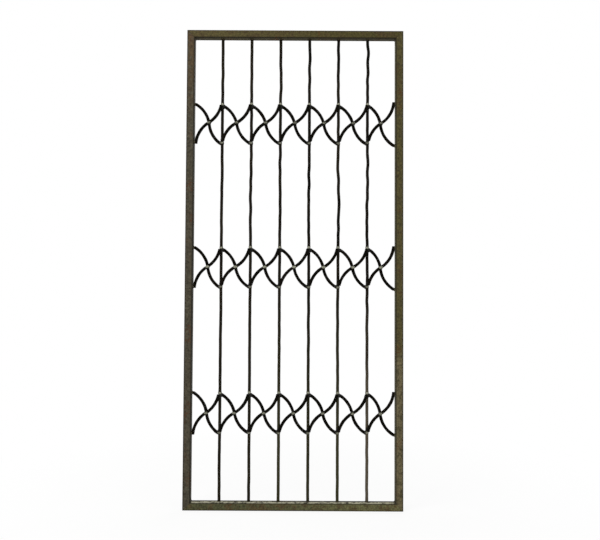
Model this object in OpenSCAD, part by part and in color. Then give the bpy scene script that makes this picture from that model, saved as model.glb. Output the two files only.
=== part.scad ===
// Window security bar: a flat welded grille of square tube, upright round bars and crossing S-shaped scrolls.
// X runs across the panel, Y from its front to its back and Z up. The origin is at the middle of its foot.

/* [Frame] */
// Overall width of the panel
frame_w = 700; // [600:10:900]
// Overall height of the panel
frame_h = 1540; // [1400:10:1800]
// Side of the square frame tube, which is also the depth of the panel
tube = 25; // [25:1:30]
// Wall thickness of the frame tube
tube_wall = 1.6; // [1.2:0.2:2]
// Outside radius of the frame tube's long edges
tube_edge_r = 2.5; // [2.5:0.25:3.5]
// Radius to which the outer corners of the frame are ground
corner_grind_r = 2; // [1:0.5:4]

/* [Bars] */
// Number of upright bars
bar_count = 6; // [4:1:6]
// Diameter of the upright bars
bar_d = 10; // [8:1:10]

/* [Scrolls] */
// Diameter of the rod that the scrolls are bent from
rod_d = 10; // [9.5:0.25:10]
// Bend radius of the scrolls as a multiple of the clear gap between bars
bend_ratio = 1.045; // [1.04:0.005:1.1]
// Distance between neighbouring bands of scrolls
band_pitch = 466; // [400:1:480]
// Height of the middle band's centre above the middle of the panel
band_lift = -1; // [-20:1:20]
// Steepness of a falling scroll at its middle, in degrees from level
falling_angle = 80; // [76:1:82]
// Steepness of a rising scroll at its middle, in degrees from level
rising_angle = 28.5; // [24:0.5:28.5]
// How far the rising scrolls are set above the falling ones
rising_lift = 4; // [0:0.5:6]
// How far the end of a rising scroll stops short of the centre line of the bar it lies on
bar_inset = 3; // [2:0.5:4]
// How much steeper the scrolls in the two outer bays are set, in degrees
outer_turn = 3.5; // [3:0.25:4]
// Steepness at which a rising scroll ends alongside a stile, in degrees from level
stile_angle = 86; // [80:1:88]

/* [Welds and fixings] */
// Gap that the welder leaves between a scroll and whatever it is welded to
root_gap = 0.5; // [0.3:0.1:0.8]
// Set-back of the rising scrolls behind the front face of the frame
front_setback = 1; // [0.5:0.25:1.5]
// Leg of the weld round each bar's end
bar_weld_leg = 2.5; // [2:0.25:3]
// Radius of the weld in each inner corner of the frame
corner_weld_r = 2.5; // [2:0.5:5]
// Radius of the weld spot at each crossing and scroll end
spot_r = 5.8; // [5.6:0.1:6]
// Diameter of the fixing holes through the stiles
fixing_d = 7; // [5:0.5:10]
// Distance of the outermost fixing holes from the ends of the stiles
fixing_end = 90; // [60:5:120]

/* [Hidden] */
frame_colour = [0.34, 0.31, 0.23];
bar_colour = [0.13, 0.12, 0.09];
rod_colour = [0.07, 0.06, 0.04];
weld_colour = [0.38, 0.38, 0.31];
$fn = 64;
cut_margin = 10;

bay_count = bar_count + 1;
bar_r = bar_d / 2;
rod_r = rod_d / 2;
opening_w = frame_w - 2 * tube;
opening_h = frame_h - 2 * tube;
gap = (opening_w - bar_count * bar_d) / bay_count;
bend_r = gap * bend_ratio;

// Depth of each layer: the rising scrolls lie in front of the bars and of the falling scrolls.
rising_y = front_setback + rod_r - tube / 2;
falling_y = rising_y + rod_d + root_gap;
bar_y = rising_y + rod_r + root_gap + bar_r;

BANDS = ["lower", "middle", "upper"];
function band_z(band) = frame_h / 2 + band_lift + (band - 1) * band_pitch;
function bar_x(bar) = (bar - (bar_count + 1) / 2) * (gap + bar_d);

// Scrolls in the outer bays stand off the stile, because a rising scroll meets it with its side. The room is what
// its arm needs to reach stile_angle one root gap short of the stile.
stile_room = root_gap + rod_r * sin(rising_angle + outer_turn)
    + (bend_r + rod_r) * (sin(stile_angle) - sin(rising_angle + outer_turn));
outer_shift = stile_room - gap / 2;
function is_outer(bay) = bay == 1 || bay == bay_count;
function shift(bay) = bay == 1 ? outer_shift : bay == bay_count ? -outer_shift : 0;
function turn(bay) = is_outer(bay) ? outer_turn : 0;
function scroll_x(bay) = (bay - (bay_count + 1) / 2) * (gap + bar_d) + shift(bay);
function rising_heading(bay) = rising_angle + turn(bay);
function falling_heading(bay) = -falling_angle - turn(bay);

// Clear distance from a scroll's middle to what stands on its left (side -1) or right (side 1).
function room(bay, side) = gap / 2 - side * shift(bay);
function meets_stile(bay, side) = side < 0 ? bay == 1 : bay == bay_count;

// An arm leaves the scroll's middle at a heading and turns left at bend_r. These give its end for a turn.
function arm_x(heading, angle) = bend_r * (sin(heading + angle) - sin(heading));
function arm_z(heading, angle) = bend_r * (cos(heading) - cos(heading + angle));
function angle_for_reach(heading, reach) = asin(reach / bend_r + sin(heading)) - heading;

// How far across each arm reaches, so that its nearest corner stops one root gap short of what it meets.
function falling_reach(bay, side) =
    (room(bay, side) - root_gap + rod_r * sin(falling_heading(bay))) / (1 - rod_r / bend_r);
function rising_reach(bay, side) = meets_stile(bay, side)
    ? (room(bay, side) - root_gap - rod_r * sin(rising_heading(bay))) / (1 + rod_r / bend_r)
    : room(bay, side) + bar_r - bar_inset;
function falling_turn(bay, side) = angle_for_reach(falling_heading(bay), falling_reach(bay, side));
function rising_turn(bay, side) = angle_for_reach(rising_heading(bay), rising_reach(bay, side));

// The end of each scroll on one side of its bay. A falling scroll's right end is its lower one.
function falling_end(bay, band, side) = [
    scroll_x(bay) + side * arm_x(falling_heading(bay), falling_turn(bay, side)),
    falling_y,
    band_z(band) + side * arm_z(falling_heading(bay), falling_turn(bay, side))];
function rising_end(bay, band, side) = [
    scroll_x(bay) + side * arm_x(rising_heading(bay), rising_turn(bay, side)),
    rising_y,
    band_z(band) + rising_lift + side * arm_z(rising_heading(bay), rising_turn(bay, side))];

// The heading back along each scroll from its end.
function falling_back(bay, side) = falling_heading(bay) + falling_turn(bay, side) + (side > 0 ? 180 : 0);
function rising_back(bay, side) = rising_heading(bay) + rising_turn(bay, side) + (side > 0 ? 180 : 0);

// The fixing holes stand halfway between bands and near the ends, clear of every scroll.
fixing_z = [fixing_end, band_z(0.5), band_z(1.5), frame_h - fixing_end];

// Cross-section of the frame tube, centred on its axis.
module rounded_square(side, r) {
    square([side, side - 2 * r], center = true);
    square([side - 2 * r, side], center = true);
    for (x = [-1, 1], y = [-1, 1])
        translate([x, y] * (side / 2 - r)) circle(r = r);
}

module tube_section() {
    difference() {
        rounded_square(tube, tube_edge_r);
        rounded_square(tube - 2 * tube_wall, tube_edge_r - tube_wall);
    }
}

// The wedge-ended block of space that a tube of this overall length fills, between its two mitres.
module mitre_block(length) {
    out = tube / 2 + cut_margin;
    rotate([90, 0, 0])
        linear_extrude(tube + 2 * cut_margin, center = true)
            polygon([
                [out, length / 2 + cut_margin], [out, -length / 2 - cut_margin],
                [-out, -length / 2 + tube + cut_margin], [-out, length / 2 - tube - cut_margin]]);
}

// The sliver outside the ground corner at +X, +Z of a tube that stands on end.
module corner_sliver(length) {
    translate([tube / 2 - corner_grind_r, 0, length / 2 - corner_grind_r])
        rotate([90, 0, 0])
            linear_extrude(tube + 2 * cut_margin, center = true)
                difference() {
                    square(corner_grind_r + cut_margin);
                    circle(r = corner_grind_r);
                }
}

// A mitred tube standing on end and centred on the origin, with its long side towards +X.
module mitred_tube(length) {
    difference() {
        intersection() {
            linear_extrude(length, center = true) tube_section();
            mitre_block(length);
        }
        corner_sliver(length);
        mirror([0, 0, 1]) corner_sliver(length);
    }
}

// A stile on the +X side, drilled from side to side for its fixings.
module drilled_stile() {
    difference() {
        translate([(frame_w - tube) / 2, 0, frame_h / 2]) mitred_tube(frame_h);
        for (z = fixing_z)
            translate([(frame_w - tube) / 2, 0, z])
                rotate([0, 90, 0])
                    cylinder(d = fixing_d, h = tube + cut_margin, center = true);
    }
}

module right_stile() {
    color(frame_colour) drilled_stile();
}

module left_stile() {
    color(frame_colour) mirror([1, 0, 0]) drilled_stile();
}

module top_rail() {
    color(frame_colour)
        translate([0, 0, frame_h - tube / 2]) rotate([0, -90, 0]) mitred_tube(frame_w);
}

module bottom_rail() {
    color(frame_colour)
        translate([0, 0, tube / 2]) rotate([0, 90, 0]) mitred_tube(frame_w);
}

// One upright bar, which stands on the bottom rail and ends under the top rail.
module upright_bar(bar) {
    color(bar_colour)
        translate([bar_x(bar), bar_y, tube]) cylinder(d = bar_d, h = opening_h);
}

// One bent arm of a scroll, in the XY plane, leaving the origin at a heading and turning left.
module arm(heading, angle) {
    rotate(heading - 90)
        translate([-bend_r, 0, 0])
            rotate_extrude(angle = angle)
                translate([bend_r, 0]) circle(d = rod_d);
}

// Two arms that leave one point in opposite directions, stood up in the XZ plane.
module scroll(heading, right_turn, left_turn) {
    rotate([90, 0, 0]) {
        arm(heading, right_turn);
        arm(heading + 180, left_turn);
    }
}

module falling_scroll(bay, band) {
    color(rod_colour)
        translate([scroll_x(bay), falling_y, band_z(band)])
            scroll(falling_heading(bay), falling_turn(bay, 1), falling_turn(bay, -1));
}

module rising_scroll(bay, band) {
    color(rod_colour)
        translate([scroll_x(bay), rising_y, band_z(band) + rising_lift])
            scroll(rising_heading(bay), rising_turn(bay, 1), rising_turn(bay, -1));
}

// A quarter-round bead along each inner corner of the frame, over the flat of the tubes.
module frame_corner_welds() {
    color(weld_colour)
        for (x = [-1, 1], z = [-1, 1])
            translate([x * opening_w / 2, 0, frame_h / 2 + z * opening_h / 2])
                rotate([90, 0, 0])
                    linear_extrude(tube - 2 * tube_edge_r, center = true)
                        intersection() {
                            circle(r = corner_weld_r);
                            translate([-x, -z] * corner_weld_r / 2) square(corner_weld_r, center = true);
                        }
}

// A bead round one end of a bar, standing on the XY plane.
module bar_end_weld() {
    rotate_extrude()
        translate([bar_r, 0])
            intersection() {
                circle(r = bar_weld_leg);
                square(bar_weld_leg);
            }
}

module bar_end_welds() {
    color(weld_colour)
        for (bar = [1:bar_count]) {
            translate([bar_x(bar), bar_y, tube]) bar_end_weld();
            translate([bar_x(bar), bar_y, frame_h - tube]) mirror([0, 0, 1]) bar_end_weld();
        }
}

// A straight length of rod, from a point back along a heading in the XZ plane. It cuts a weld to fit a scroll,
// which hardly bends over the width of a weld.
module rod_from(point, heading) {
    translate(point) rotate([0, 90 - heading, 0]) cylinder(d = rod_d, h = 3 * spot_r);
}

module rod_through(point, heading) {
    rod_from(point, heading);
    rod_from(point, heading + 180);
}

// A weld spot: a ball whose poles point at the two pieces it joins, so that both pieces cut their pole away.
module spot(centre, poles) {
    translate(centre)
        rotate(poles == "x" ? [0, 90, 0] : [90, 0, 0]) sphere(r = spot_r);
}

// The spot where the two scrolls of a bay cross: between their layers, at the rising scroll's middle.
module crossing_weld(bay, band) {
    centre = [scroll_x(bay), (rising_y + falling_y) / 2, band_z(band) + rising_lift];
    layer = [0, (falling_y - rising_y) / 2, 0];
    difference() {
        spot(centre, "y");
        rod_through(centre - layer, rising_heading(bay));
        rod_through(centre + layer, falling_heading(bay));
    }
}

// The welds at one height on a bar: the end of a rising scroll on its front and of a falling one at its side.
// side 1 is the upper junction, where the rising scroll comes from the bay on the bar's left.
module bar_weld(bar, band, side) {
    rising_bay = side > 0 ? bar : bar + 1;
    falling_bay = side > 0 ? bar + 1 : bar;
    rising = rising_end(rising_bay, band, side);
    falling = falling_end(falling_bay, band, -side);
    difference() {
        union() {
            spot([(rising.x + bar_x(bar)) / 2, (rising_y + bar_y) / 2, rising.z - side * rod_r], "y");
            spot([bar_x(bar) + side * bar_r, (falling_y + bar_y) / 2, falling.z], "x");
        }
        upright_bar(bar);
        rod_from(rising, rising_back(rising_bay, side));
        rod_from(falling, falling_back(falling_bay, -side));
    }
}

// A half-round weld spot on a stile's inner face, cut to fit the rod that ends there.
module stile_weld(side, y, z, rod_end, rod_heading) {
    difference() {
        translate([side * opening_w / 2, y, z])
            rotate([0, -side * 90, 0])
                rotate_extrude()
                    intersection() {
                        circle(r = spot_r);
                        square(spot_r);
                    }
        rod_from(rod_end, rod_heading);
    }
}

// The two spots where an outer bay's scrolls end at a stile. side 1 is the right stile.
module stile_welds(band, side) {
    bay = side > 0 ? bay_count : 1;
    rising = rising_end(bay, band, side);
    falling = falling_end(bay, band, side);
    stile_weld(side, rising_y, rising.z - side * rod_r, rising, rising_back(bay, side));
    stile_weld(side, falling_y, falling.z, falling, falling_back(bay, side));
}

module band_welds(band) {
    color(weld_colour) {
        for (bay = [1:bay_count]) crossing_weld(bay, band);
        for (bar = [1:bar_count], side = [-1, 1]) bar_weld(bar, band, side);
        for (side = [-1, 1]) stile_welds(band, side);
    }
}

left_stile();
right_stile();
top_rail();
bottom_rail();
for (bar = [1:bar_count])
    upright_bar(bar);
for (band = [0:2], bay = [1:bay_count])
    rising_scroll(bay, band);
for (band = [0:2], bay = [1:bay_count])
    falling_scroll(bay, band);
frame_corner_welds();
bar_end_welds();
for (band = [0:2])
    band_welds(band);
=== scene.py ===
"""Looks for the window security bar: olive-brown enamel on the frame, near-black rods and weld beads."""

import math

import bmesh
import bpy
from mathutils import Matrix, Vector, noise


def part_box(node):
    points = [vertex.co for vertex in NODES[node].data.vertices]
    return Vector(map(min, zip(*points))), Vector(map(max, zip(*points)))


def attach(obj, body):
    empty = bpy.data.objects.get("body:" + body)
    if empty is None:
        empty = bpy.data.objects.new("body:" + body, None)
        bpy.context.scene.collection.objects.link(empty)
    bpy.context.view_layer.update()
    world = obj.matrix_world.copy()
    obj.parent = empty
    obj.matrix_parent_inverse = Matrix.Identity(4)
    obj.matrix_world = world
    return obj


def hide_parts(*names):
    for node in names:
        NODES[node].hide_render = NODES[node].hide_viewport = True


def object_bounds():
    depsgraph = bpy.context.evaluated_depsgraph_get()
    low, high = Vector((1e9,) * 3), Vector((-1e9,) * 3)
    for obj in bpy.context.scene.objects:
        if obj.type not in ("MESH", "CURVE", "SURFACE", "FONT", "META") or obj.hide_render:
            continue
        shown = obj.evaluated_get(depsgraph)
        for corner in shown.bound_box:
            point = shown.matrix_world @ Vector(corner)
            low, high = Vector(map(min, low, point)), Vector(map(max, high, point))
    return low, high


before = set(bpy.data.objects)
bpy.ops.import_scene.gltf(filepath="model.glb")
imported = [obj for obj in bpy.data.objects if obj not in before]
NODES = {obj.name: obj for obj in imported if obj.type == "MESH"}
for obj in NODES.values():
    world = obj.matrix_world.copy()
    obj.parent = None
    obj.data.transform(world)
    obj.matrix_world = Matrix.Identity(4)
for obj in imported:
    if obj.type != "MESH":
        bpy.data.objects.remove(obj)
cad_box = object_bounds()
BODY = "root"
LOW, HIGH = cad_box
PANEL_TOP = HIGH.z
HALF_WIDTH = HIGH.x

BANDS = ("lower", "middle", "upper")
BAYS = range(1, 8)
BARS = range(1, 7)
BAND_WELDS = [f"{band}_band_welds" for band in BANDS]


# ---------------------------------------------------------------- materials

def rgb(red, green, blue):
    """A scene-linear colour from 0-255 display values."""
    def linear(v):
        v /= 255
        return v / 12.92 if v <= 0.04045 else ((v + 0.055) / 1.055) ** 2.4
    return (linear(red), linear(green), linear(blue), 1)


class Graph:
    """A material's node tree, with short calls for the nodes used here."""

    def __init__(self, name):
        self.material = bpy.data.materials.new(name)
        self.material.use_nodes = True
        self.tree = self.material.node_tree
        self.tree.nodes.clear()
        self.place = self.add("ShaderNodeTexCoord").outputs["Object"]
        split = self.add("ShaderNodeSeparateXYZ", {0: self.place})
        self.x, self.y, self.z = split.outputs

    def add(self, kind, inputs=None, **settings):
        node = self.tree.nodes.new(kind)
        for key, value in settings.items():
            setattr(node, key, value)
        for key, value in (inputs or {}).items():
            if isinstance(value, bpy.types.NodeSocket):
                self.tree.links.new(value, node.inputs[key])
            else:
                node.inputs[key].default_value = value
        return node

    def math(self, operation, a, b=0.0, clamp=False):
        return self.add("ShaderNodeMath", {0: a, 1: b}, operation=operation, use_clamp=clamp).outputs[0]

    def plus(self, a, b, clamp=False):
        return self.math("ADD", a, b, clamp)

    def minus(self, a, b):
        return self.math("SUBTRACT", a, b)

    def times(self, a, b):
        return self.math("MULTIPLY", a, b)

    def size(self, a):
        return self.math("ABSOLUTE", a)

    def wobble(self, value, reach):
        """A noise, which runs from 0 to 1, made to run from -reach / 2 to reach / 2."""
        return self.times(self.minus(value, 0.5), reach)

    def step(self, value, low, high):
        """0 below low, 1 above high, and smooth between. low may be above high, which turns it round."""
        settings = {"interpolation_type": "SMOOTHSTEP"}
        if low > high:
            up = self.add("ShaderNodeMapRange", {0: value, 1: high, 2: low}, **settings).outputs[0]
            return self.minus(1.0, up)
        return self.add("ShaderNodeMapRange", {0: value, 1: low, 2: high}, **settings).outputs[0]

    def noise(self, scale, detail, roughness, seed, stretch=(1, 1, 1)):
        """Noise with a feature size of about 1 / scale metres. Each seed moves it to another place."""
        moved = self.add("ShaderNodeMapping", {0: self.place, 1: (seed, seed * 0.7, seed * 1.3), 3: stretch})
        return self.add("ShaderNodeTexNoise", {
            "Vector": moved.outputs[0], "Scale": scale, "Detail": detail, "Roughness": roughness}).outputs[0]

    def normal(self):
        facing = self.add("ShaderNodeNewGeometry").outputs["True Normal"]
        return self.add("ShaderNodeSeparateXYZ", {0: facing}).outputs

    def mix(self, amount, a, b):
        return self.add("ShaderNodeMix", {0: amount, 6: a, 7: b}, data_type="RGBA").outputs[2]

    def blotch(self, colour, mask, amount, other):
        """The colour, turned by amount towards the other colour where mask is 1."""
        return self.mix(self.times(mask, amount), colour, other)

    def scaled(self, colour, value):
        """The colour made darker or lighter by a value near 1."""
        return self.add("ShaderNodeMix", {0: 1.0, 6: colour, 7: value}, data_type="RGBA",
                        blend_type="MULTIPLY").outputs[2]

    def attribute(self, name):
        return self.add("ShaderNodeAttribute", attribute_name=name).outputs["Fac"]

    def finish(self, colour, roughness, height, distance, specular):
        bump = self.add("ShaderNodeBump", {"Strength": BUMP_STRENGTH, "Distance": distance, "Height": height})
        shader = self.add("ShaderNodeBsdfPrincipled", {
            "Base Color": colour, "Roughness": roughness, "Normal": bump.outputs[0],
            "Specular IOR Level": specular})
        self.add("ShaderNodeOutputMaterial", {0: shader.outputs[0]})
        return self.material


BUMP_STRENGTH = 0.6

# Frame enamel. Each noise is given by its features per metre, its detail and its roughness.
BROAD_TONES = (9, 3, 0.6)
PATCHES = (48, 4, 0.62)
MOTTLE = (170, 3, 0.6)
FINE_GRAIN = (520, 3, 0.6)
FRECKLES = (240, 2, 0.5)
RUST_CLUSTERS = (17, 3, 0.6)
DUST_AND_HIGHLIGHT_PATCHES = (85, 4, 0.65)
BRUSH_MARKS = (700, 2, 0.5)
STREAK = 0.22
BRUSH_STREAK = 0.06
# Where each noise or slope turns from one tone to the next, and how far it turns it.
PATCH_EDGE, PATCH_AMOUNT = (0.50, 0.60), 0.80
# The face that looks into the opening takes a lit or shaded copy of the paint: painted light and shade.
INNER_LIGHT_AND_SHADE_EDGE, INNER_LIGHT_AND_SHADE_AMOUNT = (0.6, 0.9), 0.75
FRECKLE_EDGE, RUST_AMOUNT = (0.46, 0.60), 0.70
RUST_CLUSTER_EDGE = (0.60, 0.70)
RUST_SPREAD = 0.24
# Painted shade on the rounded long edges of each tube: where it starts and is full, how dark, and how ragged.
EDGE_SHADE_RANGE, EDGE_SHADE_AMOUNT = (0.62, 0.90), 0.84
EDGE_SHADE_RAGGEDNESS = 0.30
SEAM_EDGE, SEAM_AMOUNT = (0.0014, 0.0003), 0.35
SEAM_RAGGEDNESS = 0.0015
# Faces that look up, between these slopes, take painted shade, this dark.
UPWARD_EDGE, UPWARD_SHADE_AMOUNT = (0.5, 0.9), 0.60
# Where the pale dust and painted highlight on faces that look up set in, and how strongly.
DUST_AND_HIGHLIGHT_EDGE, DUST_AND_HIGHLIGHT_AMOUNT = (0.36, 0.56), 0.92
# The mottle and the grain each scale the tone, from a floor by a reach.
MOTTLE_FLOOR, MOTTLE_REACH = -0.20, 2.40
GRAIN_FLOOR, GRAIN_REACH = 0.55, 0.90
# The pale dust and painted highlight end about this far behind mid-depth, along a line that wanders.
DUST_AND_HIGHLIGHT_SHORE, DUST_AND_HIGHLIGHT_SHORE_BLUR, DUST_AND_HIGHLIGHT_SHORE_WANDER = 0.001, 0.0015, 0.012
# The top rail holds less dust than the bottom one, as rain washes it, and gets less of the painted highlight.
TOP_DUST_AND_HIGHLIGHT = 0.45
RUST = rgb(84, 50, 28)
# This tone is pale dust and a painted highlight on the faces that look up.
DUST_AND_HIGHLIGHT = rgb(177, 174, 150)
# This tone darkens the mitre seams, and is also painted shade on the tubes' rounded long edges.
SEAM_GRIME_AND_EDGE_SHADE = rgb(26, 23, 15)
# This tone is painted shade over the faces that look up.
UPWARD_SHADE = rgb(34, 32, 24)
# Roughness of clean paint, and what blotches and dirt add to it.
CLEAN_ROUGH, PATCH_ROUGH, DIRTY_ROUGH = 0.50, 0.22, 0.3
# What each feature adds to the paint's height, in parts of FRAME_BUMP, and how deep a seam cuts.
PATCH_HEIGHT, BRUSH_HEIGHT, RUST_HEIGHT, SEAM_DEPTH = 0.8, 0.35, 0.5, 0.5
FRAME_BUMP, FRAME_SPECULAR = 0.0004, 0.12


def frame_paint(node, upright, start, end, patchy, inner, change, blend, rusting, seed):
    """Old brushed enamel on one frame tube: blotches, rust freckles, painted shade on the rounded edges, and
    on what looks up painted shade with pale dust and a painted highlight at its front.

    start is the tone at the top or left end of the tube, and end the tone at its other end. They meet at
    change, over blend metres to each side. The tone given for the face that looks into the opening is
    painted light and shade, a lit or shaded copy of the paint."""
    g = Graph(f"{node}_paint")
    low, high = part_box(node)
    centre, half = (low + high) / 2, (high - low) / 2
    across, middle, reach = (g.x, centre.x, half.x) if upright else (g.z, centre.z, half.z)
    side = g.math("DIVIDE", g.size(g.minus(across, middle)), reach)
    depth = g.math("DIVIDE", g.size(g.y), half.y)
    edge = g.math("MINIMUM", side, depth)

    broad = g.noise(*BROAD_TONES, seed, (1, 1, STREAK) if upright else (STREAK, 1, 1))
    patch = g.noise(*PATCHES, seed + 3)
    mottle = g.noise(*MOTTLE, seed + 5)
    grain = g.noise(*FINE_GRAIN, seed + 7)
    along = g.plus(g.z if upright else g.x, g.wobble(broad, blend))
    ends = (change + blend, change - blend) if upright else (change - blend, change + blend)
    colour = g.mix(g.step(along, *ends), start, end)
    colour = g.blotch(colour, g.step(patch, *PATCH_EDGE), PATCH_AMOUNT, patchy)
    normal = g.normal()
    # Painted light and shade: the face that looks into the opening takes the tone of how light falls on it,
    # lighter on the right stile and darker on the others.
    inward = 1.0 if middle < (0 if upright else PANEL_TOP / 2) else -1.0
    toward = g.times(normal[0] if upright else normal[2], inward)
    colour = g.blotch(colour, g.step(toward, *INNER_LIGHT_AND_SHADE_EDGE), INNER_LIGHT_AND_SHADE_AMOUNT, inner)
    tone = g.plus(MOTTLE_FLOOR, g.times(mottle, MOTTLE_REACH))
    tone = g.times(tone, g.plus(GRAIN_FLOOR, g.times(grain, GRAIN_REACH)))
    colour = g.scaled(colour, tone)

    cluster_start, cluster_full = RUST_CLUSTER_EDGE
    cluster = g.step(g.noise(*RUST_CLUSTERS, seed + 15), cluster_start - RUST_SPREAD * rusting, cluster_full)
    rust = g.times(g.step(g.noise(*FRECKLES, seed + 11), *FRECKLE_EDGE), cluster)
    colour = g.blotch(colour, rust, RUST_AMOUNT, RUST)

    # Painted shade darkens the rounded long edges of the tube, along a ragged border.
    ragged = g.plus(edge, g.wobble(mottle, EDGE_SHADE_RAGGEDNESS))
    colour = g.blotch(colour, g.step(ragged, *EDGE_SHADE_RANGE), EDGE_SHADE_AMOUNT, SEAM_GRIME_AND_EDGE_SHADE)

    # The ground mitre seams, which run at 45 degrees through each corner of the frame.
    inset = g.minus(HALF_WIDTH, g.size(g.x))
    top_seam = g.size(g.minus(inset, g.minus(PANEL_TOP, g.z)))
    foot_seam = g.size(g.minus(inset, g.z))
    seam_gap = g.plus(g.math("MINIMUM", top_seam, foot_seam), g.wobble(grain, SEAM_RAGGEDNESS))
    seam = g.step(seam_gap, *SEAM_EDGE)
    colour = g.blotch(colour, seam, SEAM_AMOUNT, SEAM_GRIME_AND_EDGE_SHADE)

    # Every face that looks up is darkened by painted shade, and pale dust with a painted highlight lies along
    # its front.
    upward = g.step(normal[2], *UPWARD_EDGE)
    shore = g.plus(g.y, g.wobble(patch, DUST_AND_HIGHLIGHT_SHORE_WANDER))
    front = g.step(shore, DUST_AND_HIGHLIGHT_SHORE + DUST_AND_HIGHLIGHT_SHORE_BLUR, DUST_AND_HIGHLIGHT_SHORE - DUST_AND_HIGHLIGHT_SHORE_BLUR)
    dust_and_highlight = g.times(front, g.step(g.noise(*DUST_AND_HIGHLIGHT_PATCHES, seed + 19), *DUST_AND_HIGHLIGHT_EDGE))
    dust_and_highlight = g.times(g.times(dust_and_highlight, upward), TOP_DUST_AND_HIGHLIGHT if node == "top_rail" else 1.0)
    # Painted shade over the whole of each face that looks up.
    colour = g.blotch(colour, upward, UPWARD_SHADE_AMOUNT, UPWARD_SHADE)
    # Pale dust and a painted highlight along the front of each face that looks up.
    colour = g.blotch(colour, dust_and_highlight, DUST_AND_HIGHLIGHT_AMOUNT, DUST_AND_HIGHLIGHT)

    rough = g.plus(CLEAN_ROUGH, g.times(patch, PATCH_ROUGH))
    rough = g.plus(rough, g.times(g.math("MAXIMUM", rust, dust_and_highlight), DIRTY_ROUGH), clamp=True)
    brushed = g.noise(*BRUSH_MARKS, seed + 23, (1, 1, BRUSH_STREAK) if upright else (BRUSH_STREAK, 1, 1))
    height = g.plus(g.times(patch, PATCH_HEIGHT), g.times(brushed, BRUSH_HEIGHT))
    height = g.plus(height, g.times(rust, RUST_HEIGHT))
    height = g.minus(height, g.times(seam, SEAM_DEPTH))
    return g.finish(colour, rough, height, FRAME_BUMP, FRAME_SPECULAR)


# Rod paint, in the same terms.
ROD_TONES = (24, 3, 0.6)
ROD_GRAIN = (190, 4, 0.6)
ROD_FRECKLES = (300, 2, 0.5)
BURN_RAGGEDNESS = (330, 3, 0.6)
CHALK_GRAIN = (450, 2, 0.5)
ROD_TONE_EDGE = (0.40, 0.60)
PALE_EDGE = (0.44, 0.84)
ROD_FRECKLE_EDGE, ROD_FRECKLE_ZONE, ROD_FRECKLE_AMOUNT = (0.60, 0.70), (0.48, 0.60), 0.25
BURN_EDGE, BURN_AMOUNT = (0.25, 1.0), 0.94
CHALK_EDGE = (0.40, 0.62)
CHALK_DARK, CHALK_LIGHT = rgb(134, 134, 116), rgb(176, 176, 158)
ROD_RUST = rgb(58, 34, 18)
# Weathering starts at the first height and is full at the second, and its edge wanders.
WEATHER_SPAN = (0.78, 0.16)
WEATHER_WANDER = 0.5
ROD_STREAK = 0.5
ROD_ROUGH, ROD_GRAIN_ROUGH = 0.56, 0.25
ROD_GRAIN_HEIGHT, ROD_TONE_HEIGHT = 0.4, 0.8
ROD_BUMP = 0.00015


def rod_paint(name, main, second, pale, pale_amount, foot, foot_amount, specular, seed):
    """Thin dark paint on rod, gone pale and chalky at a weld, where the "burn" attribute is high.

    foot is the tone that the paint weathers to below about knee height."""
    g = Graph(name)
    broad = g.noise(*ROD_TONES, seed, (1, 1, ROD_STREAK))
    grain = g.noise(*ROD_GRAIN, seed + 5)
    colour = g.mix(g.step(broad, *ROD_TONE_EDGE), main, second)
    colour = g.blotch(colour, g.step(grain, *PALE_EDGE), pale_amount, pale)
    weathered = g.step(g.plus(g.z, g.wobble(broad, WEATHER_WANDER)), *WEATHER_SPAN)
    colour = g.blotch(colour, weathered, foot_amount, foot)
    freckle = g.times(g.step(g.noise(*ROD_FRECKLES, seed + 9), *ROD_FRECKLE_EDGE),
                      g.step(broad, *ROD_FRECKLE_ZONE))
    colour = g.blotch(colour, freckle, ROD_FRECKLE_AMOUNT, ROD_RUST)
    burn = g.plus(g.attribute("burn"), g.minus(g.noise(*BURN_RAGGEDNESS, seed + 13), 0.5))
    chalk = g.mix(g.step(g.noise(*CHALK_GRAIN, seed + 17), *CHALK_EDGE), CHALK_DARK, CHALK_LIGHT)
    colour = g.blotch(colour, g.step(burn, *BURN_EDGE), BURN_AMOUNT, chalk)
    rough = g.plus(ROD_ROUGH, g.times(grain, ROD_GRAIN_ROUGH), clamp=True)
    height = g.plus(g.times(grain, ROD_GRAIN_HEIGHT), g.times(broad, ROD_TONE_HEIGHT))
    return g.finish(colour, rough, height, ROD_BUMP, specular)


# Weld metal, in the same terms.
WELD_LUMPS = (240, 4, 0.65)
WELD_PITS = (900, 2, 0.5)
LUMP_EDGE = (0.38, 0.62)
PIT_EDGE, PIT_AMOUNT = (0.60, 0.42), 0.5
BARE_EDGE = (0.15, 0.95)
PIT_BROWN = rgb(48, 38, 26)
STILE_TONE = rgb(72, 66, 44)
# Distances from the panel's middle over which a weld bead turns from rod paint to the stile's own paint.
STILE_PAINT_EDGE = (0.316, 0.320)
WELD_ROUGH, PIT_ROUGH, PIT_HEIGHT = 0.55, 0.3, 0.5
WELD_BUMP, WELD_SPECULAR = 0.0004, 0.3


def weld_metal(name, main, second, seed, painted=None):
    """Weld bead, pitted and browned in the hollows. painted is the tone where there is no "burn"."""
    g = Graph(name)
    lump = g.noise(*WELD_LUMPS, seed)
    pit = g.noise(*WELD_PITS, seed + 5)
    colour = g.mix(g.step(lump, *LUMP_EDGE), main, second)
    colour = g.blotch(colour, g.step(pit, *PIT_EDGE), PIT_AMOUNT, PIT_BROWN)
    if painted:
        colour = g.mix(g.step(g.attribute("burn"), *BARE_EDGE), painted, colour)
        colour = g.mix(g.step(g.size(g.x), *STILE_PAINT_EDGE), colour, STILE_TONE)
    rough = g.plus(WELD_ROUGH, g.times(pit, PIT_ROUGH), clamp=True)
    height = g.plus(lump, g.times(pit, PIT_HEIGHT))
    return g.finish(colour, rough, height, WELD_BUMP, WELD_SPECULAR)


# ---------------------------------------------------------------- meshes

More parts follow.
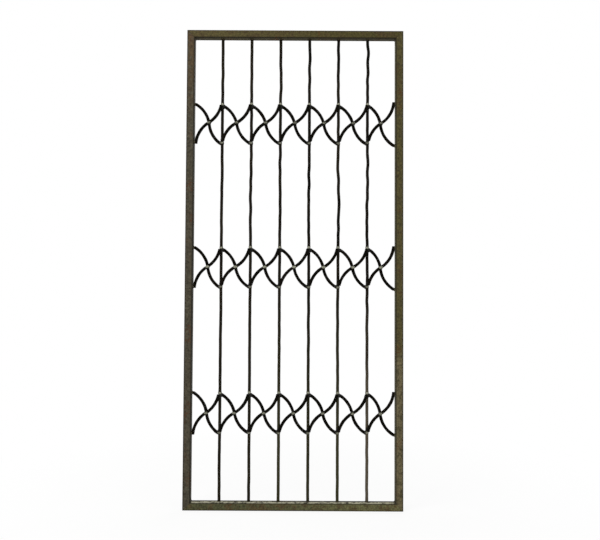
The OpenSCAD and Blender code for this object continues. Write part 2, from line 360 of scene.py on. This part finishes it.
def add_piece(mesh, name, material, replaced):
    """Puts a mesh in the scene as a piece that rides the panel and stands for a CAD node."""
    piece = bpy.data.objects.new(name, mesh)
    bpy.context.scene.collection.objects.link(piece)
    mesh.materials.clear()
    mesh.materials.append(material)
    for polygon in mesh.polygons:
        polygon.use_smooth = True
    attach(piece, BODY)
    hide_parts(replaced)


# Vertices of a CAD mesh closer than this are one vertex.
WELD_DISTANCE = 1e-6


def joined(node):
    """A CAD node's mesh with the vertices of neighbouring faces joined, for the caller to free."""
    mesh = bmesh.new()
    mesh.from_mesh(NODES[node].data)
    bmesh.ops.remove_doubles(mesh, verts=mesh.verts, dist=WELD_DISTANCE)
    return mesh


def remeshed(node, voxel):
    """A copy of a CAD node's mesh with faces of about the voxel's size, and its sharp edges just broken."""
    source = joined(node)
    mesh = bpy.data.meshes.new(node)
    source.to_mesh(mesh)
    source.free()
    holder = bpy.data.objects.new("holder", mesh)
    bpy.context.scene.collection.objects.link(holder)
    modifier = holder.modifiers.new("even", "REMESH")
    modifier.mode = "VOXEL"
    modifier.voxel_size = voxel
    graph = bpy.context.evaluated_depsgraph_get()
    result = bpy.data.meshes.new_from_object(holder.evaluated_get(graph))
    bpy.data.objects.remove(holder)
    return result


BOX_CLEARANCE = 0.0001
# Anything further than this from the panel's middle is beside a stile.
STILE_REACH = 0.30


def roughen(mesh, layers, seed, swell=0.0, side_swell=None):
    """Moves each vertex along its normal by swell and noise, and keeps it inside the panel's box.

    layers holds pairs of (wavelength, depth) in metres. side_swell, if given, is used beside the stiles."""
    offset = Vector((seed * 1.7, seed * 0.9, seed * 2.3))
    for vertex, normal in zip(mesh.vertices, [v.normal.copy() for v in mesh.vertices]):
        beside_stile = side_swell is not None and abs(vertex.co.x) > STILE_REACH
        push = side_swell if beside_stile else swell
        push += sum(noise.noise(vertex.co / size + offset) * depth for size, depth in layers)
        vertex.co += normal * push
        for i in range(3):
            vertex.co[i] = min(HIGH[i] - BOX_CLEARANCE, max(LOW[i] + BOX_CLEARANCE, vertex.co[i]))


def bead_middles(node):
    """The middle of every separate bead in a weld node."""
    middles = []
    beads = joined(node)
    left = set(beads.verts)
    while left:
        grown, edge = set(), [left.pop()]
        while edge:
            vertex = edge.pop()
            grown.add(vertex)
            for other in (link.other_vert(vertex) for link in vertex.link_edges):
                if other in left:
                    left.discard(other)
                    edge.append(other)
        low = Vector(min(v.co[i] for v in grown) for i in range(3))
        high = Vector(max(v.co[i] for v in grown) for i in range(3))
        middles.append((low + high) / 2)
    beads.free()
    return middles


# A burn is wider than it is tall, by 1 / BURN_FLATNESS.
BURN_FLATNESS = 0.6


def mark_burns(mesh, spots):
    """Writes the "burn" attribute, which is highest at each spot as seen from the front.

    spots holds (x, z, reach, strength): full strength out to half the reach, and nothing beyond it."""
    low = [min(v.co[i] for v in mesh.vertices) for i in (0, 2)]
    high = [max(v.co[i] for v in mesh.vertices) for i in (0, 2)]
    near = []
    for spot in spots:
        widest = spot[2] / BURN_FLATNESS
        if all(low[i] - widest <= spot[i] <= high[i] + widest for i in (0, 1)):
            near.append(spot)
    values = []
    for vertex in mesh.vertices:
        burn = 0.0
        for x, z, reach, strength in near:
            gap = math.hypot((vertex.co.x - x) * BURN_FLATNESS, vertex.co.z - z)
            burn = max(burn, strength * min(1.0, 2 - 2 * gap / reach))
        values.append(burn)
    mesh.attributes.new("burn", "FLOAT", "POINT").data.foreach_set("value", values)


def smoothed(value):
    value = min(1.0, max(0.0, value))
    return value * value * (3 - 2 * value)


# Height of one ring of a bar's faces, and the number of faces round it.
BAR_STEP = 0.002
BAR_SIDES = 20
# Lengths of a bar's slow waves and sharp kinks, and the kinks' reach on the most bent bar.
WAVE_LENGTH = 0.21
KINK_LENGTH = 0.037
KINK = 0.0030
# A bar runs true at each weld, and is free this far from it.
HOLD_REACH = 0.05
# The bars are nearly straight below LOW_END and most bent above HIGH_START.
LOW_WAVE, LOW_END, HIGH_START = 0.35, 0.40, 1.10
# Spilt weld thickens a bar by about this much, over this reach. Dents make it lumpy.
KNUCKLE = 0.0011
KNUCKLE_REACH = 0.0038
KNUCKLE_EVEN, KNUCKLE_LUMP = 0.8, 0.0004
# Wear is deeper than the cap on outward dents, so a bar is no thicker than the CAD one except at a knuckle.
DENT, DENT_LENGTH, DENT_CAP = 0.00028, 0.02, 0.0001
WEAR = 0.00012


def upright_bar(node, hold_heights, knuckles, wave, seed):
    """A hand-straightened round bar: it waves and kinks between the places where welds hold it.

    knuckles are the heights at which spilt weld thickens it."""
    low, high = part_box(node)
    centre, radius = (low + high) / 2, (high.x - low.x) / 2
    count = round((high.z - low.z) / BAR_STEP)
    builder = bmesh.new()
    rings = []
    for i in range(count + 1):
        z = low.z + (high.z - low.z) * i / count
        free = smoothed(min(abs(z - h) for h in hold_heights) / HOLD_REACH)
        free *= LOW_WAVE + (1 - LOW_WAVE) * smoothed((z - LOW_END) / (HIGH_START - LOW_END))
        swing = noise.noise(Vector((z / WAVE_LENGTH + seed * 3.71, seed * 5.37 + 0.41, 0.3))) * wave
        kink = noise.noise(Vector((z / KINK_LENGTH, seed * 2.93 + 0.5, 4.6))) * KINK * wave / BAR_WAVES[-1]
        lean = noise.noise(Vector((z / WAVE_LENGTH, seed * 4.19 + 0.27, 7.7))) * wave / 2
        dx, dy = (swing + kink) * free, lean * free
        knuckle = KNUCKLE * sum(math.exp(-((z - h) / KNUCKLE_REACH) ** 2) for h in knuckles)
        ring = []
        for k in range(BAR_SIDES):
            angle = 2 * math.pi * k / BAR_SIDES
            dent = noise.noise(Vector((math.cos(angle), math.sin(angle) + seed * 3, z / DENT_LENGTH))) * DENT
            r = radius - WEAR + min(DENT_CAP, dent) + knuckle * (KNUCKLE_EVEN + dent / KNUCKLE_LUMP)
            x, y = centre.x + dx + r * math.cos(angle), centre.y + dy + r * math.sin(angle)
            ring.append(builder.verts.new((x, y, z)))
        rings.append(ring)
    for a, b in zip(rings, rings[1:]):
        for k in range(BAR_SIDES):
            n = (k + 1) % BAR_SIDES
            builder.faces.new((a[k], a[n], b[n], b[k]))
    builder.faces.new(list(reversed(rings[0])))
    builder.faces.new(rings[-1])
    mesh = bpy.data.meshes.new(node)
    builder.to_mesh(mesh)
    builder.free()
    return mesh


# ---------------------------------------------------------------- frame tubes

# Each tube's tone for the face that looks into the opening is painted light and shade.
TUBES = {
    "left_stile": {
        "upright": True, "start": rgb(77, 63, 43), "end": rgb(71, 65, 52), "patchy": rgb(77, 73, 60),
        "inner": rgb(56, 55, 44), "change": 1.33, "blend": 0.14, "rusting": 0.30, "seed": 1.3},
    "right_stile": {
        "upright": True, "start": rgb(78, 71, 41), "end": rgb(98, 89, 64), "patchy": rgb(70, 64, 42),
        "inner": rgb(84, 82, 54), "change": 0.49, "blend": 0.03, "rusting": 0.30, "seed": 4.1},
    "top_rail": {
        "upright": False, "start": rgb(81, 73, 42), "end": rgb(72, 66, 33), "patchy": rgb(72, 60, 36),
        "inner": rgb(52, 48, 34), "change": 0.0, "blend": 0.30, "rusting": 0.30, "seed": 7.9},
    "bottom_rail": {
        "upright": False, "start": rgb(76, 76, 51), "end": rgb(98, 95, 63), "patchy": rgb(82, 70, 46),
        "inner": rgb(60, 58, 42), "change": 0.02, "blend": 0.25, "rusting": 0.35, "seed": 12.6},
}
for tube, settings in TUBES.items():
    shown = NODES[tube]
    shown.data.materials.clear()
    shown.data.materials.append(frame_paint(tube, **settings))

# ---------------------------------------------------------------- where the welds burnt the paint

CENTRES = [middle for node in BAND_WELDS for middle in bead_middles(node)]
WELD_HEIGHTS = sorted({round(c.z, 2) for c in CENTRES})
BAR_X = [sum(corner.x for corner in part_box(f"upright_bar_{bar}")) / 2 for bar in BARS]
# A bead that isn't beside a stile, and is further than this from every bar, is a crossing.
MID_BAY = 0.02
CROSSING_REACH = 0.0058
# The middle band's crossings are the barest.
CROSSING_BARE = {"lower": 0.68, "middle": 0.85, "upper": 0.60}
CROSSINGS = []
for band in BANDS:
    foot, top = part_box(f"{band}_band_welds")
    for c in CENTRES:
        in_mid_bay = abs(c.x) < STILE_REACH and min(abs(c.x - x) for x in BAR_X) > MID_BAY
        if in_mid_bay and foot.z < c.z < top.z:
            CROSSINGS.append((c.x, c.z, CROSSING_REACH, CROSSING_BARE[band]))

# The bare spots on each bar are just above a band's upper scroll ends, and just below its lower ones. Those
# below are duller.
ABOVE_END, ABOVE_REACH, ABOVE_BARE = 0.0038, 0.0048, 1.0
BELOW_END, BELOW_REACH, BELOW_BARE = 0.0040, 0.0050, 0.72
BARE_SPOTS = {bar: [] for bar in BARS}
for band in BANDS:
    for bar, x in zip(BARS, BAR_X):
        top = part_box(f"{band}_rising_scroll_{bar}")[1].z + ABOVE_END
        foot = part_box(f"{band}_rising_scroll_{bar + 1}")[0].z - BELOW_END
        BARE_SPOTS[bar].append((x, top, ABOVE_REACH, ABOVE_BARE))
        BARE_SPOTS[bar].append((x, foot, BELOW_REACH, BELOW_BARE))

# ---------------------------------------------------------------- bars, scrolls and welds

# The tone that each bar's paint has weathered to near its foot, and how far.
FOOT_OLIVE, FOOT_GREY = rgb(60, 58, 38), rgb(86, 78, 65)
FOOT_TONES = (FOOT_OLIVE, FOOT_OLIVE, FOOT_OLIVE, FOOT_OLIVE, FOOT_OLIVE, FOOT_GREY)
FOOT_WEATHER = (0.10, 0.15, 0.75, 0.60, 0.85, 0.95)
# The two dark tones of each bar's paint.
BLACK, BROWN, OLIVE = rgb(9, 8, 4), rgb(24, 20, 13), rgb(34, 30, 21)
BAR_TONES = ((BROWN, OLIVE), (BROWN, OLIVE), (BROWN, OLIVE), (BLACK, BROWN), (BLACK, OLIVE), (BLACK, BROWN))
BAR_PALE, BAR_PALE_AMOUNT = rgb(50, 43, 30), 0.16
BAR_SPECULAR = 0.05
BAR_SEED = 20
# How strongly each bar waves, in metres. The right-hand bars are the most bent.
BAR_WAVES = (0.0016, 0.0018, 0.0024, 0.0024, 0.0032, 0.0036)

SCROLL_PAINT = rod_paint("scroll_paint", rgb(8, 7, 3), rgb(15, 12, 7), pale=rgb(34, 30, 20), pale_amount=0.22,
                         foot=rgb(14, 12, 7), foot_amount=0.3, specular=0.03, seed=2.2)
SCROLL_VOXEL = 0.0008
SCROLL_DENTS = ((0.022, 0.0005), (0.006, 0.00022))

for bar in BARS:
    node = f"upright_bar_{bar}"
    low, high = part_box(node)
    knuckles = [z for _, z, _, _ in BARE_SPOTS[bar]]
    mesh = upright_bar(node, [low.z, high.z, *WELD_HEIGHTS], knuckles, BAR_WAVES[bar - 1], bar)
    mark_burns(mesh, BARE_SPOTS[bar])
    paint = rod_paint(f"bar_{bar}_paint", *BAR_TONES[bar - 1], BAR_PALE, BAR_PALE_AMOUNT,
                      FOOT_TONES[bar - 1], FOOT_WEATHER[bar - 1], BAR_SPECULAR, BAR_SEED + bar)
    add_piece(mesh, f"worn_bar_{bar}", paint, node)

seed = 0
for band in BANDS:
    for kind in ("rising", "falling"):
        for bay in BAYS:
            seed += 1
            node = f"{band}_{kind}_scroll_{bay}"
            mesh = remeshed(node, SCROLL_VOXEL)
            roughen(mesh, SCROLL_DENTS, seed)
            mark_burns(mesh, CROSSINGS)
            add_piece(mesh, f"forged_{node}", SCROLL_PAINT, node)

SPOT_METAL = weld_metal("spot_metal", rgb(164, 164, 144), rgb(120, 120, 100), 31.0, painted=rgb(16, 14, 9))
END_METAL = weld_metal("end_metal", rgb(70, 60, 40), rgb(50, 42, 27), 37.0)
CORNER_METAL = weld_metal("corner_metal", rgb(68, 62, 40), rgb(52, 46, 28), 43.0)
# How far the beads stand out from the CAD ones. Those at the stiles, bar ends and corners are smaller.
SPOT_SWELL, SIDE_SWELL, END_SWELL, CORNER_SWELL = 0.0009, -0.0005, -0.0006, -0.0009
WELD_VOXEL = 0.0005
BEAD_LUMPS = ((0.005, 0.0009), (0.0018, 0.0004))
BEADS = [(node, SPOT_METAL, SPOT_SWELL, SIDE_SWELL) for node in BAND_WELDS]
BEADS.append(("bar_end_welds", END_METAL, END_SWELL, None))
BEADS.append(("frame_corner_welds", CORNER_METAL, CORNER_SWELL, None))
ALL_SPOTS = CROSSINGS + [spot for spots in BARE_SPOTS.values() for spot in spots]

for node, metal, swell, side_swell in BEADS:
    seed += 1
    mesh = remeshed(node, WELD_VOXEL)
    roughen(mesh, BEAD_LUMPS, seed, swell, side_swell)
    mark_burns(mesh, ALL_SPOTS)
    add_piece(mesh, f"lumpy_{node}", metal, node)

# ---------------------------------------------------------------- stage

FLOOR_SIZE = 12.0
PAPER_BLOTCHES, PAPER_EDGE = (6, 3, 0.55, 0), (0.3, 0.7)
PAPER_ROUGH, PAPER_SPECULAR = 0.9, 0.1
PAPER_LIGHT, PAPER_DARK = rgb(250, 250, 248), rgb(246, 246, 244)
# The floor glows white to the camera by this much at the panel's foot, and fully beyond the fade.
FLOOR_GLOW = 0.88
FLOOR_FADE = (0.35, 1.3)


def floor_paper():
    """Pale paper that fades to white away from the panel's foot, so that it shows no horizon."""
    g = Graph("floor_paper")
    tone = g.mix(g.step(g.noise(*PAPER_BLOTCHES), *PAPER_EDGE), PAPER_LIGHT, PAPER_DARK)
    paper = g.add("ShaderNodeBsdfPrincipled", {
        "Base Color": tone, "Roughness": PAPER_ROUGH, "Specular IOR Level": PAPER_SPECULAR})
    glow = g.add("ShaderNodeEmission", {"Color": (1, 1, 1, 1), "Strength": 1.0})
    reach = g.math("SQRT", g.plus(g.times(g.x, g.x), g.times(g.y, g.y)))
    fade = g.plus(FLOOR_GLOW, g.times(g.step(reach, *FLOOR_FADE), 1 - FLOOR_GLOW))
    seen = g.add("ShaderNodeLightPath").outputs["Is Camera Ray"]
    blend = g.add("ShaderNodeMixShader", {0: g.times(fade, seen), 1: paper.outputs[0], 2: glow.outputs[0]})
    g.add("ShaderNodeOutputMaterial", {0: blend.outputs[0]})
    return g.material


builder = bmesh.new()
bmesh.ops.create_grid(builder, x_segments=2, y_segments=2, size=FLOOR_SIZE)
floor_mesh = bpy.data.meshes.new("floor")
builder.to_mesh(floor_mesh)
builder.free()
floor = bpy.data.objects.new("floor", floor_mesh)
bpy.context.scene.collection.objects.link(floor)
floor_mesh.materials.append(floor_paper())

# ---------------------------------------------------------------- light

scene = bpy.context.scene
scene.view_settings.view_transform = "Standard"

SEEN_WHITE, SEEN_STRENGTH = (1, 1, 1, 1), 1.0
LIT_WHITE, LIT_STRENGTH = (0.97, 0.98, 1.0, 1), 0.62
world = bpy.data.worlds.new("studio")
scene.world = world
world.use_nodes = True
tree = world.node_tree
tree.nodes.clear()


def background(colour, strength):
    node = tree.nodes.new("ShaderNodeBackground")
    node.inputs[0].default_value = colour
    node.inputs[1].default_value = strength
    return node.outputs[0]


# The camera sees pure white behind the panel, and the panel is lit by a dimmer, cooler sky.
blend = tree.nodes.new("ShaderNodeMixShader")
tree.links.new(tree.nodes.new("ShaderNodeLightPath").outputs["Is Camera Ray"], blend.inputs[0])
tree.links.new(background(LIT_WHITE, LIT_STRENGTH), blend.inputs[1])
tree.links.new(background(SEEN_WHITE, SEEN_STRENGTH), blend.inputs[2])
tree.links.new(blend.outputs[0], tree.nodes.new("ShaderNodeOutputWorld").inputs[0])


def area_light(name, place, target, size, power, colour):
    data = bpy.data.lights.new(name, "AREA")
    data.size = size
    data.energy = power
    data.color = colour
    light = bpy.data.objects.new(name, data)
    scene.collection.objects.link(light)
    light.location = place
    light.rotation_euler = (Vector(target) - Vector(place)).to_track_quat("-Z", "Y").to_euler()


PANEL_MIDDLE = (0, 0, PANEL_TOP / 2)
area_light("key", (-1.7, -1.6, 2.9), PANEL_MIDDLE, size=1.6, power=42, colour=(1, 0.985, 0.95))
area_light("fill", (2.2, -2.2, 1.4), PANEL_MIDDLE, size=2.2, power=12, colour=(0.95, 0.98, 1))
area_light("back", (0.8, 2.4, 2.6), PANEL_MIDDLE, size=2.0, power=16, colour=(1, 1, 1))

# ---------------------------------------------------------------- camera

CAMERA_PLACE = Vector((0.019, -1.917, 0.708))
CAMERA_PITCH = math.radians(1.67)
CAMERA_ROLL = math.radians(0.30)
SENSOR_WIDTH = 36
LENS = 35.73
CLIP_START = 0.05
forward = Vector((0, math.cos(CAMERA_PITCH), math.sin(CAMERA_PITCH)))
level = Vector((1, 0, 0))
upward = level.cross(forward)
right = level * math.cos(CAMERA_ROLL) + upward * math.sin(CAMERA_ROLL)
up = upward * math.cos(CAMERA_ROLL) - level * math.sin(CAMERA_ROLL)
camera_data = bpy.data.cameras.new("camera")
camera_data.sensor_width = SENSOR_WIDTH
camera_data.lens = LENS
camera_data.clip_start = CLIP_START
camera = bpy.data.objects.new("camera", camera_data)
scene.collection.objects.link(camera)
camera.matrix_world = Matrix.Translation(CAMERA_PLACE) @ Matrix((right, up, -forward)).transposed().to_4x4()
scene.camera = camera
